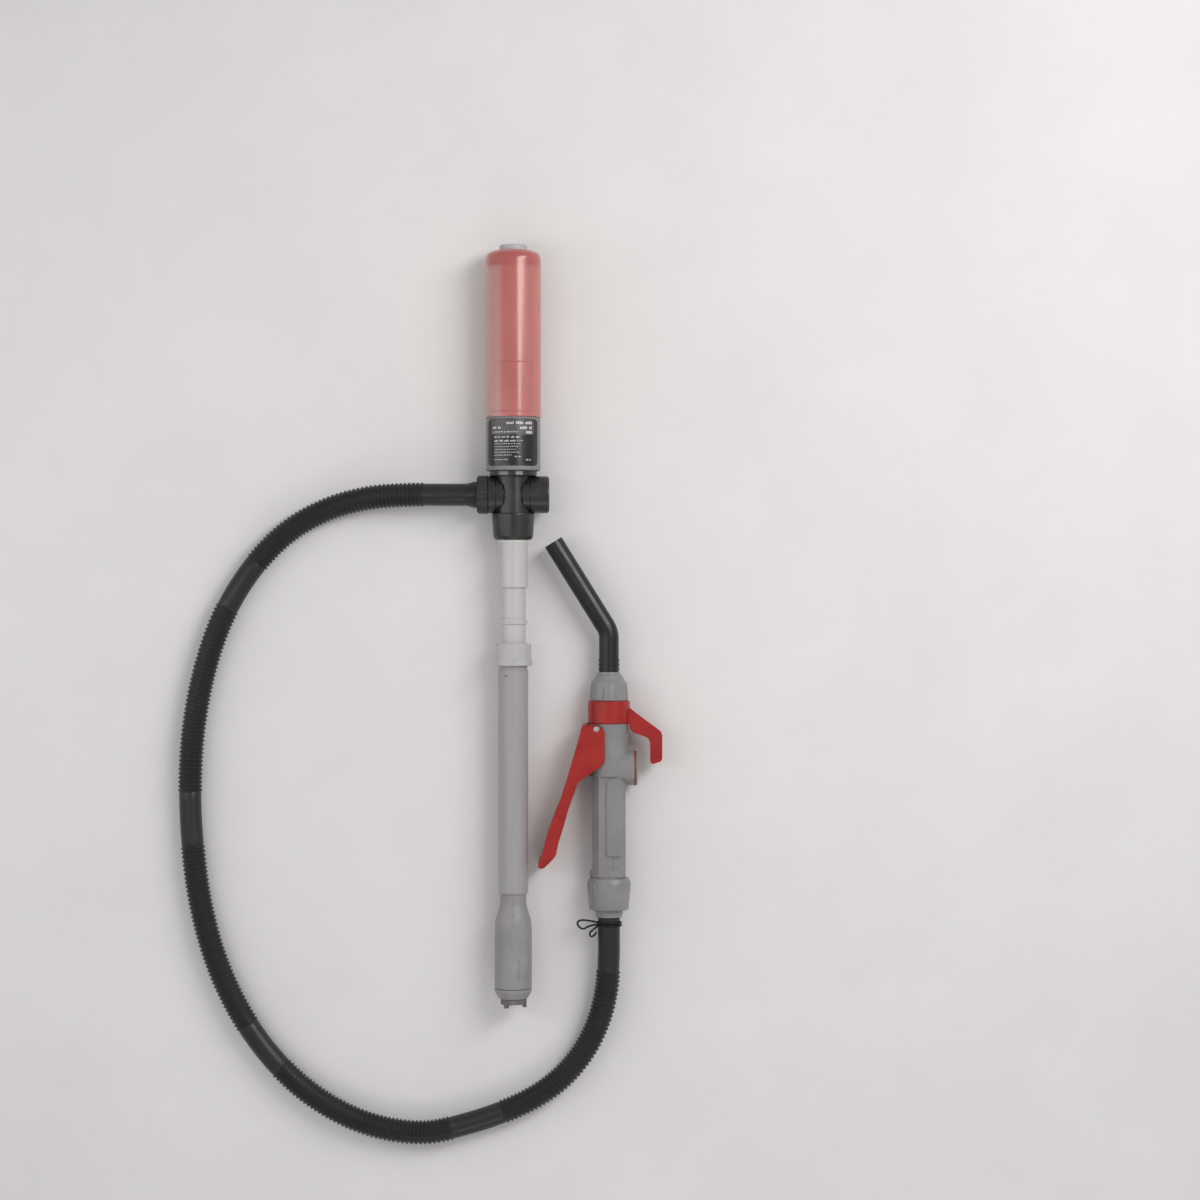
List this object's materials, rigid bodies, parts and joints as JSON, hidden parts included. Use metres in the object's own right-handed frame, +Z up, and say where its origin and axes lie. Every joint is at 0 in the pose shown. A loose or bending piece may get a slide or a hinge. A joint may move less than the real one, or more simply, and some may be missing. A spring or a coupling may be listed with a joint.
{
  "type": "battery fuel transfer pump",
  "caption": "Telescopic battery-powered fuel transfer pump with side port, corrugated discharge hose and hand trigger nozzle with hook and bent spout.",
  "frame": {"origin": "on the floor, below the middle of the box round the pump and nozzle without the hose", "axes": "+Y along the pump towards its switch, +X from the pump to the nozzle, +Z up from the floor it lies on"},
  "size_m": [0.3813, 0.707, 0.0435],
  "materials": {
    "case_grey": "moulded polypropylene, fine matt texture",
    "label_black": "satin printed film",
    "tray_plastic": "moulded polypropylene",
    "cell_steel": "plated steel can",
    "spring_steel": "nickel-plated wire and sheet",
    "contact_brass": "bright brass",
    "seal_rubber": "moulded nitrile",
    "head_black": "moulded glass-filled polypropylene, satin",
    "acetal_white": "natural acetal",
    "tube_light": "extruded polypropylene, satin",
    "tube_grey": "extruded polypropylene, satin",
    "housing_grey": "moulded polypropylene, satin",
    "strainer_grey": "moulded polypropylene",
    "cable_black": "fuel-proof jacket",
    "spout_black": "satin polyethylene",
    "nozzle_grey": "moulded acetal, satin",
    "trigger_red": "moulded acetal, semi-gloss",
    "pin_steel": "turned steel",
    "clamp_steel": "black-finished spring wire",
    "hose_rubber": "corrugated polyethylene",
    "cover_red": "translucent red polypropylene, glossy",
    "carrier_red": "moulded",
    "switch_grey": "moulded, satin",
    "magnet_dark": "ferrite"
  },
  "bodies": {
    "root": {"lower_case": "case_grey", "case_label": "label_black", "battery_tray": "tray_plastic", "battery_upper": "cell_steel", "battery_lower": "cell_steel", "tray_spring": "spring_steel", "return_strip": "contact_brass", "cover_seal": "seal_rubber", "neck_ring": "head_black", "head_lock_nut": "acetal_white", "pump_head": "head_black", "lead_gland": "seal_rubber", "port_ring": "head_black", "hose_nut": "head_black", "hose_barb": "contact_brass", "port_cap": "head_black", "pump_seals": "seal_rubber", "tube_collar": "head_black", "tube_washer": "acetal_white", "tube_sleeve": "tube_light", "inner_tube": "tube_light", "stop_ring": "tube_light", "guide_ring": "acetal_white", "motor_cable": "cable_black", "spout": "spout_black", "spout_nut": "nozzle_grey", "nozzle_seals": "seal_rubber", "hook_collar": "trigger_red", "nozzle_body": "nozzle_grey", "front_panel": "nozzle_grey", "pivot_pin": "pin_steel", "side_cap": "nozzle_grey", "side_cap_ring": "trigger_red", "inlet_nut": "nozzle_grey", "hose_ferrule": "nozzle_grey", "nozzle_barb": "contact_brass", "hose_clamp": "clamp_steel", "discharge_hose": "hose_rubber", "hose_return": "hose_rubber", "valve_spring": "spring_steel"},
    "battery_cover": {"battery_cover": "cover_red", "switch_carrier": "carrier_red", "top_contact": "contact_brass", "carrier_screws": "pin_steel", "button_spring": "spring_steel"},
    "switch_button": {"switch_button": "switch_grey"},
    "lower_tube": {"lower_tube": "tube_grey", "grip_ring": "acetal_white", "motor_housing": "housing_grey", "housing_base": "housing_grey", "strainer": "strainer_grey", "motor_can": "spring_steel", "motor_magnets": "magnet_dark", "shaft_seal": "seal_rubber"},
    "lock_collar": {"lock_collar": "tube_light"},
    "rotor": {"motor_shaft": "pin_steel", "impeller": "acetal_white"},
    "trigger": {"trigger": "trigger_red"},
    "valve_stem": {"valve_stem": "acetal_white"}
  },
  "joints": [
    {"name": "cover_slide", "type": "slide", "parent": "root", "child": "battery_cover", "axis": [0, 1, 0], "range_m": [0, 0.125]},
    {"name": "button_press", "type": "slide", "parent": "battery_cover", "child": "switch_button", "axis": [0, -1, 0], "range_m": [0, 0.0016], "stiffness_N_per_m": 500, "springref_m": -0.002, "deforming": ["button_spring"]},
    {"name": "tube_slide", "type": "slide", "parent": "root", "child": "lower_tube", "axis": [0, -1, 0], "range_m": [0, 0.1397], "deforming": ["motor_cable", "hose_return"]},
    {"name": "lock_twist", "type": "hinge", "parent": "lower_tube", "child": "lock_collar", "pos_m": [-0.0443, -0.0215, 0.02175], "axis": [0, 1, 0], "range_deg": [0, 35]},
    {"name": "rotor_spin", "type": "hinge", "parent": "lower_tube", "child": "rotor", "pos_m": [-0.0443, -0.2615, 0.02175], "axis": [0, -1, 0], "continuous": true},
    {"name": "trigger_pull", "type": "hinge", "parent": "root", "child": "trigger", "pos_m": [0.021, -0.08, 0.01725], "axis": [0, 0, 1], "range_deg": [0, 14], "stiffness_Nm_per_rad": 2, "springref_deg": -11.46},
    {"name": "valve_open", "type": "slide", "parent": "root", "child": "valve_stem", "axis": [1, 0, 0], "range_m": [0, 0.00795], "deforming": ["valve_spring"]}
  ],
  "couplings": [
    {"joint": "valve_open", "follows": "trigger_pull", "m_per_rad": 0.032331}
  ]
}
